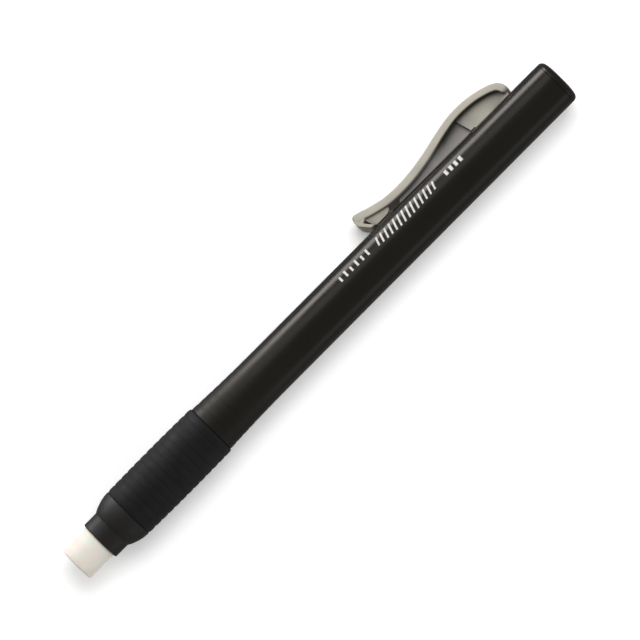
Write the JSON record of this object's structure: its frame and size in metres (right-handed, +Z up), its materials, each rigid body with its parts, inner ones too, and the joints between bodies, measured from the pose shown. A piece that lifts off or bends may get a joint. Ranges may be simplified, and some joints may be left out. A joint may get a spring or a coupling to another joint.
{
  "type": "click stick eraser",
  "caption": "Pen-shaped click eraser: a white eraser stick in a black barrel with a ribbed rubber grip, fed and held by a smoke-grey pocket clip that slides and rocks.",
  "frame": {"origin": "centre of the flat end face of the tail, on the pen's long axis", "axes": "+X along the pen towards its tail, so the eraser points to -X; +Z up with the pen lying on a table; +Y to the side where the clip is, drooping 20 degrees below +Y until its edge meets the table"},
  "size_m": [0.1222, 0.0147, 0.0106],
  "materials": {
    "barrel_black": "moulded gloss, fine rings on the flare",
    "plug_black": "moulded gloss",
    "grip_rubber": "matt, finely ribbed",
    "nose_black": "satin",
    "carriage_grey": "moulded satin",
    "holder_white": "moulded satin",
    "pin_steel": "drawn wire",
    "spring_steel": "drawn wire",
    "clip_smoke": "cloudy translucent smoke grey",
    "eraser_white": "matt vinyl"
  },
  "bodies": {
    "barrel": {"barrel": "barrel_black", "tail_plug": "plug_black", "grip_sleeve": "grip_rubber", "nose_cone": "nose_black"},
    "slider": {"slider_carriage": "carriage_grey", "eraser_holder": "holder_white", "clip_pin": "pin_steel", "clip_spring": "spring_steel"},
    "clip": {"pocket_clip": "clip_smoke"},
    "eraser": {"eraser_stick": "eraser_white"}
  },
  "joints": [
    {"name": "eraser_feed", "type": "slide", "parent": "barrel", "child": "slider", "axis": [-1, 0, 0], "range_m": [-0.006, 0.0372]},
    {"name": "clip_press", "type": "hinge", "parent": "slider", "child": "clip", "pos_m": [-0.0165, 0.00207, -0.00075], "axis": [0, -0.342, -0.9397], "range_deg": [0, 3], "stiffness_Nm_per_rad": 0.13, "springref_deg": -2.98, "deforming": ["clip_spring"]},
    {"name": "stick_refill", "type": "slide", "parent": "slider", "child": "eraser", "axis": [-1, 0, 0], "range_m": [0, 0.082]}
  ]
}
